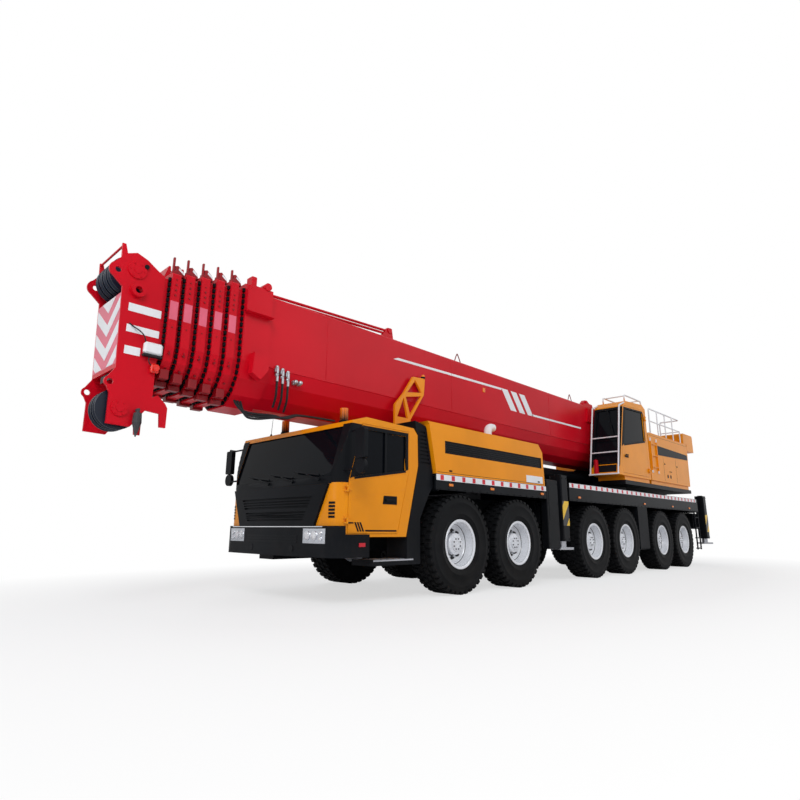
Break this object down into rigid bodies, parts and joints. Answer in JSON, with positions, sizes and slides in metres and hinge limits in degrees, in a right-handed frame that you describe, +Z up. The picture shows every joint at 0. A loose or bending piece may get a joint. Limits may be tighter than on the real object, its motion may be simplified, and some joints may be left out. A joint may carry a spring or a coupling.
{
  "type": "mobile crane",
  "caption": "Mobile crane with a telescopic boom, slewing superstructure, operator's cab, carrier cab and outriggers.",
  "frame": {"origin": "on the ground under the middle of the whole machine", "axes": "+X forward towards the boom's head, +Y to the crane's left, +Z up"},
  "size_m": [17.85, 3.51, 4.4189],
  "materials": {
    "orange_paint": "gloss",
    "red_paint": "gloss",
    "frame_paint": "satin",
    "black_plastic": "satin",
    "tinted_glass": "gloss",
    "lamp_glass": "gloss",
    "seat_fabric": "woven",
    "cast_iron": "rough",
    "sheave_plastic": "satin",
    "rod_chrome": "polished",
    "jack_steel": "satin",
    "tyre_rubber": "matte"
  },
  "bodies": {
    "carrier": {"chassis_frame": "frame_paint", "axle_beams": "frame_paint", "carrier_deck": "orange_paint", "engine_hood": "orange_paint", "engine_block": "cast_iron", "cab_shell": "orange_paint", "cab_glass": "tinted_glass", "cab_interior": "seat_fabric", "front_bumper": "black_plastic", "headlamps": "lamp_glass", "cab_mirrors": "black_plastic", "side_fittings": "black_plastic", "boom_rest": "orange_paint"},
    "cab_door_left": {"cab_door_left": "orange_paint"},
    "cab_door_right": {"cab_door_right": "orange_paint"},
    "superstructure": {"slew_platform": "frame_paint", "operator_cab": "orange_paint", "operator_glass": "tinted_glass", "power_pack": "orange_paint", "winch": "frame_paint", "counterweight": "orange_paint"},
    "operator_door": {"operator_door": "orange_paint"},
    "boom_base": {"boom_base": "red_paint"},
    "boom_section_1": {"boom_section_1": "red_paint"},
    "boom_section_2": {"boom_section_2": "red_paint"},
    "boom_section_3": {"boom_section_3": "red_paint"},
    "boom_section_4": {"boom_section_4": "red_paint"},
    "boom_section_5": {"boom_section_5": "red_paint"},
    "boom_head": {"boom_head": "red_paint", "head_sheaves": "sheave_plastic"},
    "luff_barrel": {"luff_barrel": "frame_paint"},
    "luff_rod": {"luff_rod": "rod_chrome"},
    "outrigger_beam_front_left": {"outrigger_beam_front_left": "orange_paint"},
    "outrigger_jack_front_left": {"outrigger_jack_front_left": "jack_steel"},
    "outrigger_beam_front_right": {"outrigger_beam_front_right": "orange_paint"},
    "outrigger_jack_front_right": {"outrigger_jack_front_right": "jack_steel"},
    "outrigger_beam_rear_left": {"outrigger_beam_rear_left": "orange_paint"},
    "outrigger_jack_rear_left": {"outrigger_jack_rear_left": "jack_steel"},
    "outrigger_beam_rear_right": {"outrigger_beam_rear_right": "orange_paint"},
    "outrigger_jack_rear_right": {"outrigger_jack_rear_right": "jack_steel"},
    "wheel_1_left": {"wheel_1_left": "tyre_rubber"},
    "knuckle_1_left": {"knuckle_1_left": "frame_paint"},
    "wheel_1_right": {"wheel_1_right": "tyre_rubber"},
    "knuckle_1_right": {"knuckle_1_right": "frame_paint"},
    "wheel_2_left": {"wheel_2_left": "tyre_rubber"},
    "knuckle_2_left": {"knuckle_2_left": "frame_paint"},
    "wheel_2_right": {"wheel_2_right": "tyre_rubber"},
    "knuckle_2_right": {"knuckle_2_right": "frame_paint"},
    "wheel_3_left": {"wheel_3_left": "tyre_rubber"},
    "wheel_3_right": {"wheel_3_right": "tyre_rubber"},
    "wheel_4_left": {"wheel_4_left": "tyre_rubber"},
    "wheel_4_right": {"wheel_4_right": "tyre_rubber"},
    "wheel_5_left": {"wheel_5_left": "tyre_rubber"},
    "knuckle_5_left": {"knuckle_5_left": "frame_paint"},
    "wheel_5_right": {"wheel_5_right": "tyre_rubber"},
    "knuckle_5_right": {"knuckle_5_right": "frame_paint"},
    "wheel_6_left": {"wheel_6_left": "tyre_rubber"},
    "knuckle_6_left": {"knuckle_6_left": "frame_paint"},
    "wheel_6_right": {"wheel_6_right": "tyre_rubber"},
    "knuckle_6_right": {"knuckle_6_right": "frame_paint"}
  },
  "joints": [
    {"name": "slew", "type": "hinge", "parent": "carrier", "child": "superstructure", "pos_m": [-3.625, 0, 1.99], "axis": [0, 0, 1], "continuous": true},
    {"name": "boom_luff", "type": "hinge", "parent": "superstructure", "child": "boom_base", "pos_m": [-5.575, 0, 3.05], "axis": [0, -1, 0], "range_deg": [0, 82]},
    {"name": "luff_barrel_swing", "type": "hinge", "parent": "superstructure", "child": "luff_barrel", "pos_m": [-3.925, 0, 2.33], "axis": [0, -1, 0], "range_deg": [0, 92]},
    {"name": "luff_rod_slide", "type": "slide", "parent": "luff_barrel", "child": "luff_rod", "axis": [1, 0, 0], "range_m": [0, 2.225]},
    {"name": "telescope_1", "type": "slide", "parent": "boom_base", "child": "boom_section_1", "axis": [1, 0, 0], "range_m": [0, 9.2]},
    {"name": "telescope_2", "type": "slide", "parent": "boom_section_1", "child": "boom_section_2", "axis": [1, 0, 0], "range_m": [0, 9.2]},
    {"name": "telescope_3", "type": "slide", "parent": "boom_section_2", "child": "boom_section_3", "axis": [1, 0, 0], "range_m": [0, 9.2]},
    {"name": "telescope_4", "type": "slide", "parent": "boom_section_3", "child": "boom_section_4", "axis": [1, 0, 0], "range_m": [0, 9.2]},
    {"name": "telescope_5", "type": "slide", "parent": "boom_section_4", "child": "boom_section_5", "axis": [1, 0, 0], "range_m": [0, 9.2]},
    {"name": "telescope_6", "type": "slide", "parent": "boom_section_5", "child": "boom_head", "axis": [1, 0, 0], "range_m": [0, 9.2]},
    {"name": "left_door_hinge", "type": "hinge", "parent": "carrier", "child": "cab_door_left", "pos_m": [6.037, 1.385, 1.6], "axis": [0, 0, -1], "range_deg": [0, 70]},
    {"name": "right_door_hinge", "type": "hinge", "parent": "carrier", "child": "cab_door_right", "pos_m": [6.037, -1.385, 1.6], "axis": [0, 0, 1], "range_deg": [0, 70]},
    {"name": "operator_door_hinge", "type": "hinge", "parent": "superstructure", "child": "operator_door", "pos_m": [-4.317, 1.452, 3.2], "axis": [0, 0, 1], "range_deg": [0, 85]},
    {"name": "front_left_beam_slide", "type": "slide", "parent": "carrier", "child": "outrigger_beam_front_left", "axis": [0, 1, 0], "range_m": [0, 1.85]},
    {"name": "front_left_jack_slide", "type": "slide", "parent": "outrigger_beam_front_left", "child": "outrigger_jack_front_left", "axis": [0, 0, -1], "range_m": [0, 0.65]},
    {"name": "front_right_beam_slide", "type": "slide", "parent": "carrier", "child": "outrigger_beam_front_right", "axis": [0, -1, 0], "range_m": [0, 1.85]},
    {"name": "front_right_jack_slide", "type": "slide", "parent": "outrigger_beam_front_right", "child": "outrigger_jack_front_right", "axis": [0, 0, -1], "range_m": [0, 0.65]},
    {"name": "rear_left_beam_slide", "type": "slide", "parent": "carrier", "child": "outrigger_beam_rear_left", "axis": [0, 1, 0], "range_m": [0, 1.85]},
    {"name": "rear_left_jack_slide", "type": "slide", "parent": "outrigger_beam_rear_left", "child": "outrigger_jack_rear_left", "axis": [0, 0, -1], "range_m": [0, 0.65]},
    {"name": "rear_right_beam_slide", "type": "slide", "parent": "carrier", "child": "outrigger_beam_rear_right", "axis": [0, -1, 0], "range_m": [0, 1.85]},
    {"name": "rear_right_jack_slide", "type": "slide", "parent": "outrigger_beam_rear_right", "child": "outrigger_jack_rear_right", "axis": [0, 0, -1], "range_m": [0, 0.65]},
    {"name": "steer_1_left", "type": "hinge", "parent": "carrier", "child": "knuckle_1_left", "pos_m": [3.775, 1.085, 0.7475], "axis": [0, 0, 1], "range_deg": [-25, 25]},
    {"name": "wheel_1_left_spin", "type": "hinge", "parent": "knuckle_1_left", "child": "wheel_1_left", "pos_m": [3.775, 1.25, 0.7475], "axis": [0, 1, 0], "continuous": true},
    {"name": "steer_1_right", "type": "hinge", "parent": "carrier", "child": "knuckle_1_right", "pos_m": [3.775, -1.085, 0.7475], "axis": [0, 0, 1], "range_deg": [-25, 25]},
    {"name": "wheel_1_right_spin", "type": "hinge", "parent": "knuckle_1_right", "child": "wheel_1_right", "pos_m": [3.775, -1.25, 0.7475], "axis": [0, 1, 0], "continuous": true},
    {"name": "steer_2_left", "type": "hinge", "parent": "carrier", "child": "knuckle_2_left", "pos_m": [2.125, 1.085, 0.7475], "axis": [0, 0, 1], "range_deg": [-17.5, 17.5]},
    {"name": "wheel_2_left_spin", "type": "hinge", "parent": "knuckle_2_left", "child": "wheel_2_left", "pos_m": [2.125, 1.25, 0.7475], "axis": [0, 1, 0], "continuous": true},
    {"name": "steer_2_right", "type": "hinge", "parent": "carrier", "child": "knuckle_2_right", "pos_m": [2.125, -1.085, 0.7475], "axis": [0, 0, 1], "range_deg": [-17.5, 17.5]},
    {"name": "wheel_2_right_spin", "type": "hinge", "parent": "knuckle_2_right", "child": "wheel_2_right", "pos_m": [2.125, -1.25, 0.7475], "axis": [0, 1, 0], "continuous": true},
    {"name": "wheel_3_left_spin", "type": "hinge", "parent": "carrier", "child": "wheel_3_left", "pos_m": [-0.835, 1.25, 0.7475], "axis": [0, 1, 0], "continuous": true},
    {"name": "wheel_3_right_spin", "type": "hinge", "parent": "carrier", "child": "wheel_3_right", "pos_m": [-0.835, -1.25, 0.7475], "axis": [0, 1, 0], "continuous": true},
    {"name": "wheel_4_left_spin", "type": "hinge", "parent": "carrier", "child": "wheel_4_left", "pos_m": [-2.485, 1.25, 0.7475], "axis": [0, 1, 0], "continuous": true},
    {"name": "wheel_4_right_spin", "type": "hinge", "parent": "carrier", "child": "wheel_4_right", "pos_m": [-2.485, -1.25, 0.7475], "axis": [0, 1, 0], "continuous": true},
    {"name": "steer_5_left", "type": "hinge", "parent": "carrier", "child": "knuckle_5_left", "pos_m": [-4.785, 1.085, 0.7475], "axis": [0, 0, 1], "range_deg": [-9.1, 9.1]},
    {"name": "wheel_5_left_spin", "type": "hinge", "parent": "knuckle_5_left", "child": "wheel_5_left", "pos_m": [-4.785, 1.25, 0.7475], "axis": [0, 1, 0], "continuous": true},
    {"name": "steer_5_right", "type": "hinge", "parent": "carrier", "child": "knuckle_5_right", "pos_m": [-4.785, -1.085, 0.7475], "axis": [0, 0, 1], "range_deg": [-9.1, 9.1]},
    {"name": "wheel_5_right_spin", "type": "hinge", "parent": "knuckle_5_right", "child": "wheel_5_right", "pos_m": [-4.785, -1.25, 0.7475], "axis": [0, 1, 0], "continuous": true},
    {"name": "steer_6_left", "type": "hinge", "parent": "carrier", "child": "knuckle_6_left", "pos_m": [-6.435, 1.085, 0.7475], "axis": [0, 0, 1], "range_deg": [-14, 14]},
    {"name": "wheel_6_left_spin", "type": "hinge", "parent": "knuckle_6_left", "child": "wheel_6_left", "pos_m": [-6.435, 1.25, 0.7475], "axis": [0, 1, 0], "continuous": true},
    {"name": "steer_6_right", "type": "hinge", "parent": "carrier", "child": "knuckle_6_right", "pos_m": [-6.435, -1.085, 0.7475], "axis": [0, 0, 1], "range_deg": [-14, 14]},
    {"name": "wheel_6_right_spin", "type": "hinge", "parent": "knuckle_6_right", "child": "wheel_6_right", "pos_m": [-6.435, -1.25, 0.7475], "axis": [0, 1, 0], "continuous": true}
  ],
  "couplings": [
    {"joint": "luff_barrel_swing", "follows": "boom_luff", "ratio": 1.1193},
    {"joint": "luff_rod_slide", "follows": "boom_luff", "m_per_rad": 1.5513},
    {"joint": "telescope_2", "follows": "telescope_1", "ratio": 1},
    {"joint": "telescope_3", "follows": "telescope_1", "ratio": 1},
    {"joint": "telescope_4", "follows": "telescope_1", "ratio": 1},
    {"joint": "telescope_5", "follows": "telescope_1", "ratio": 1},
    {"joint": "telescope_6", "follows": "telescope_1", "ratio": 1},
    {"joint": "steer_1_right", "follows": "steer_1_left", "ratio": 1},
    {"joint": "steer_2_left", "follows": "steer_1_left", "ratio": 0.7},
    {"joint": "steer_2_right", "follows": "steer_1_left", "ratio": 0.7},
    {"joint": "steer_5_left", "follows": "steer_6_left", "ratio": 0.65},
    {"joint": "steer_5_right", "follows": "steer_6_left", "ratio": 0.65},
    {"joint": "steer_6_right", "follows": "steer_6_left", "ratio": 1}
  ]
}
